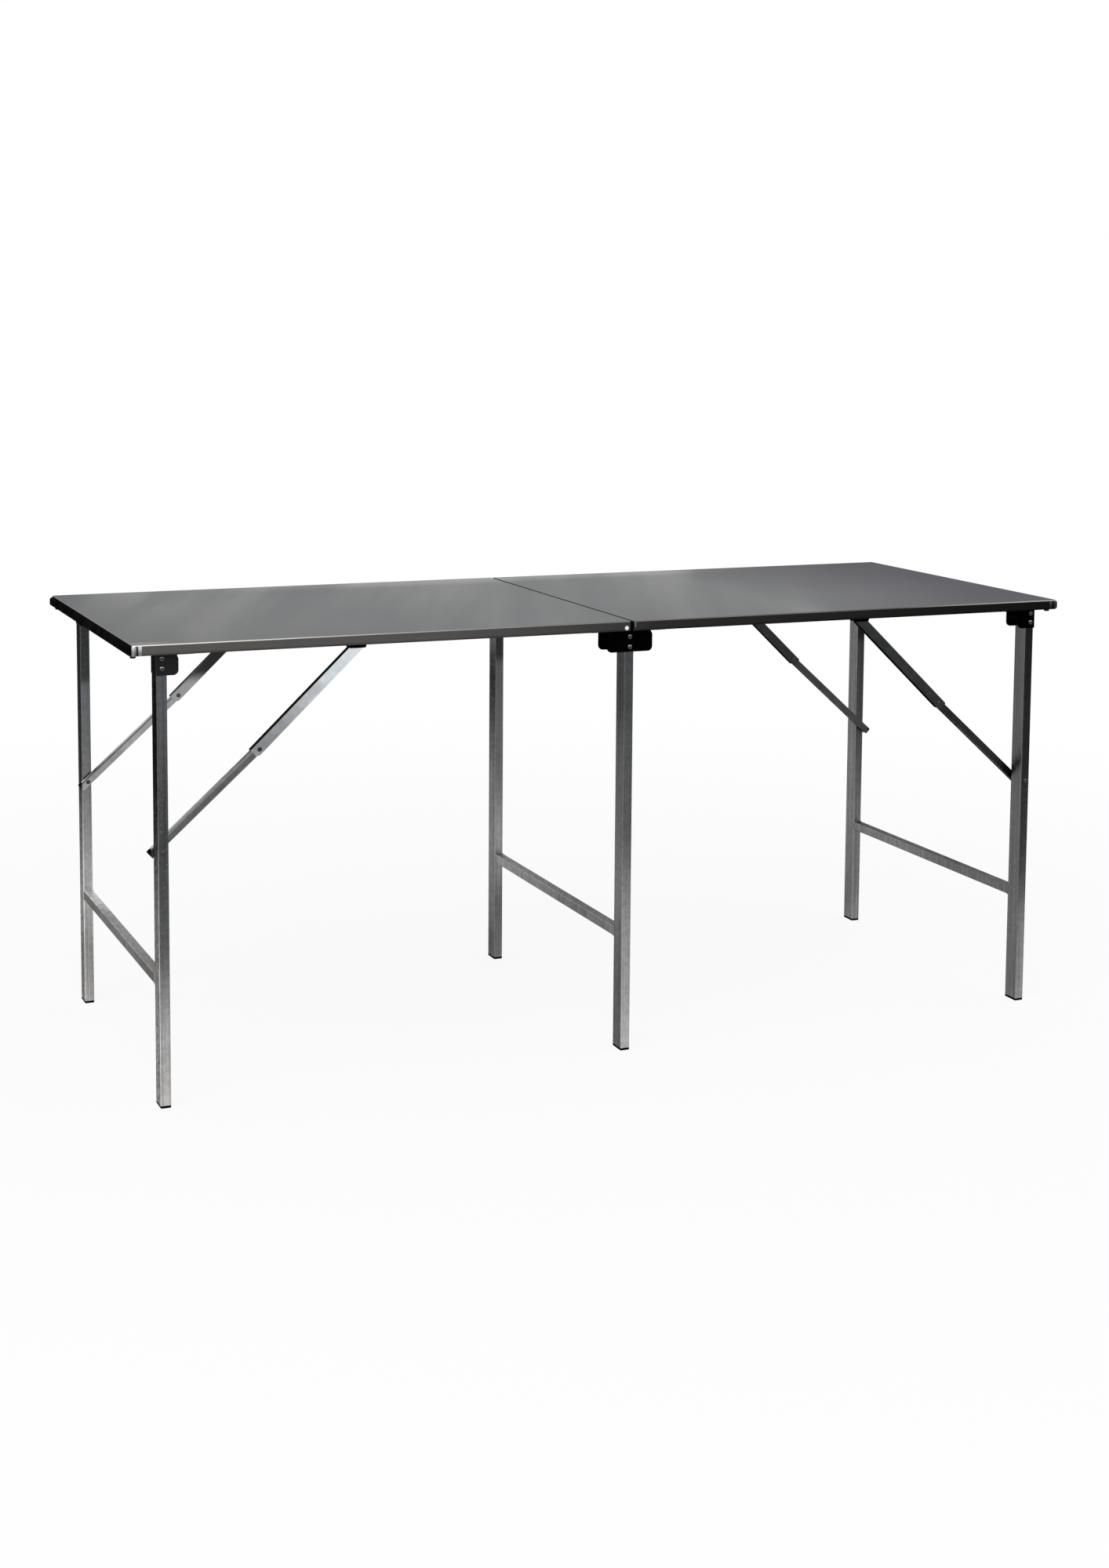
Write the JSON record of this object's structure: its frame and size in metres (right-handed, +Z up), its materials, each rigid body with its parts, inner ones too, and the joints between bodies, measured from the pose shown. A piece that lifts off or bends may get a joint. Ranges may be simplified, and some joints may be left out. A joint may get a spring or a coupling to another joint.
{
  "type": "folding work table",
  "caption": "Folding work table: metal-skinned top split across the middle on tube leg frames, with end legs that fold inwards on hinged struts and top halves that hinge down.",
  "frame": {"origin": "on the floor under the middle of the table", "axes": "+X along the table's length, -Y its front edge, +Z up"},
  "size_m": [2.012, 0.78, 0.88],
  "materials": {
    "stainless_sheet": "satin sheet, folded edges",
    "film_faced_board": "dark film-faced board",
    "galvanised_tube": "galvanised, faintly mottled",
    "black_steel": "black satin coating",
    "zinc_channel": "zinc plated",
    "zinc_hardware": "bright zinc plated",
    "black_plastic": "moulded, fine texture",
    "black_rubber": "matte"
  },
  "bodies": {
    "middle_frame": {"middle_front_leg": "galvanised_tube", "middle_back_leg": "galvanised_tube", "middle_crossbar": "galvanised_tube", "middle_feet": "black_plastic", "middle_front_plates": "black_steel", "middle_back_plates": "black_steel", "middle_plate_rivets": "zinc_hardware", "middle_hinge_pins": "black_steel"},
    "left_half": {"left_top_skin": "stainless_sheet", "left_top_board": "film_faced_board", "left_end_trim": "black_plastic", "left_middle_lugs": "black_steel", "left_leg_lugs": "black_steel", "left_strut_cleats": "black_steel", "left_strut_top_pins": "black_steel", "left_top_screws": "zinc_hardware", "left_bumpers": "black_rubber"},
    "left_legs": {"left_front_leg": "galvanised_tube", "left_back_leg": "galvanised_tube", "left_crossbar": "galvanised_tube", "left_feet": "black_plastic", "left_front_plates": "black_steel", "left_back_plates": "black_steel", "left_plate_rivets": "zinc_hardware", "left_hinge_pins": "black_steel", "left_strut_rivets": "zinc_hardware"},
    "left_front_upper_strut": {"left_front_upper_link": "zinc_channel", "left_front_knuckle_rivet": "zinc_hardware"},
    "left_front_lower_strut": {"left_front_lower_link": "zinc_channel", "left_front_foot_rivet": "zinc_hardware"},
    "left_back_upper_strut": {"left_back_upper_link": "zinc_channel", "left_back_knuckle_rivet": "zinc_hardware"},
    "left_back_lower_strut": {"left_back_lower_link": "zinc_channel", "left_back_foot_rivet": "zinc_hardware"},
    "right_half": {"right_top_skin": "stainless_sheet", "right_top_board": "film_faced_board", "right_end_trim": "black_plastic", "right_middle_lugs": "black_steel", "right_leg_lugs": "black_steel", "right_strut_cleats": "black_steel", "right_strut_top_pins": "black_steel", "right_top_screws": "zinc_hardware", "right_bumpers": "black_rubber"},
    "right_legs": {"right_front_leg": "galvanised_tube", "right_back_leg": "galvanised_tube", "right_crossbar": "galvanised_tube", "right_feet": "black_plastic", "right_front_plates": "black_steel", "right_back_plates": "black_steel", "right_plate_rivets": "zinc_hardware", "right_hinge_pins": "black_steel", "right_strut_rivets": "zinc_hardware"},
    "right_front_upper_strut": {"right_front_upper_link": "zinc_channel", "right_front_knuckle_rivet": "zinc_hardware"},
    "right_front_lower_strut": {"right_front_lower_link": "zinc_channel", "right_front_foot_rivet": "zinc_hardware"},
    "right_back_upper_strut": {"right_back_upper_link": "zinc_channel", "right_back_knuckle_rivet": "zinc_hardware"},
    "right_back_lower_strut": {"right_back_lower_link": "zinc_channel", "right_back_foot_rivet": "zinc_hardware"}
  },
  "joints": [
    {"name": "left_half_fold", "type": "hinge", "parent": "middle_frame", "child": "left_half", "pos_m": [-0.039, 0, 0.846], "axis": [0, -1, 0], "range_deg": [0, 45]},
    {"name": "left_leg_fold", "type": "hinge", "parent": "left_half", "child": "left_legs", "pos_m": [-0.921, 0, 0.846], "axis": [0, -1, 0], "range_deg": [0, 90]},
    {"name": "left_front_strut_swing", "type": "hinge", "parent": "left_half", "child": "left_front_upper_strut", "pos_m": [-0.5525, -0.325, 0.851], "axis": [0, 1, 0], "range_deg": [0, 43.71]},
    {"name": "left_front_knuckle", "type": "hinge", "parent": "left_front_upper_strut", "child": "left_front_lower_strut", "pos_m": [-0.7462, -0.325, 0.66176], "axis": [0, -1, 0], "range_deg": [0, 176.85]},
    {"name": "left_back_strut_swing", "type": "hinge", "parent": "left_half", "child": "left_back_upper_strut", "pos_m": [-0.5525, 0.325, 0.851], "axis": [0, 1, 0], "range_deg": [0, 43.71]},
    {"name": "left_back_knuckle", "type": "hinge", "parent": "left_back_upper_strut", "child": "left_back_lower_strut", "pos_m": [-0.7462, 0.325, 0.66176], "axis": [0, -1, 0], "range_deg": [0, 176.85]},
    {"name": "right_half_fold", "type": "hinge", "parent": "middle_frame", "child": "right_half", "pos_m": [0.039, 0, 0.846], "axis": [0, 1, 0], "range_deg": [0, 45]},
    {"name": "right_leg_fold", "type": "hinge", "parent": "right_half", "child": "right_legs", "pos_m": [0.921, 0, 0.846], "axis": [0, 1, 0], "range_deg": [0, 90]},
    {"name": "right_front_strut_swing", "type": "hinge", "parent": "right_half", "child": "right_front_upper_strut", "pos_m": [0.5525, -0.325, 0.851], "axis": [0, -1, 0], "range_deg": [0, 43.71]},
    {"name": "right_front_knuckle", "type": "hinge", "parent": "right_front_upper_strut", "child": "right_front_lower_strut", "pos_m": [0.7462, -0.325, 0.66176], "axis": [0, 1, 0], "range_deg": [0, 176.85]},
    {"name": "right_back_strut_swing", "type": "hinge", "parent": "right_half", "child": "right_back_upper_strut", "pos_m": [0.5525, 0.325, 0.851], "axis": [0, -1, 0], "range_deg": [0, 43.71]},
    {"name": "right_back_knuckle", "type": "hinge", "parent": "right_back_upper_strut", "child": "right_back_lower_strut", "pos_m": [0.7462, 0.325, 0.66176], "axis": [0, 1, 0], "range_deg": [0, 176.85]}
  ],
  "couplings": [
    {"joint": "left_front_strut_swing", "follows": "left_leg_fold", "ratio": 0.48553},
    {"joint": "left_front_knuckle", "follows": "left_leg_fold", "ratio": 1.9649},
    {"joint": "left_back_strut_swing", "follows": "left_leg_fold", "ratio": 0.48553},
    {"joint": "left_back_knuckle", "follows": "left_leg_fold", "ratio": 1.9649},
    {"joint": "right_front_strut_swing", "follows": "right_leg_fold", "ratio": 0.48553},
    {"joint": "right_front_knuckle", "follows": "right_leg_fold", "ratio": 1.9649},
    {"joint": "right_back_strut_swing", "follows": "right_leg_fold", "ratio": 0.48553},
    {"joint": "right_back_knuckle", "follows": "right_leg_fold", "ratio": 1.9649}
  ]
}
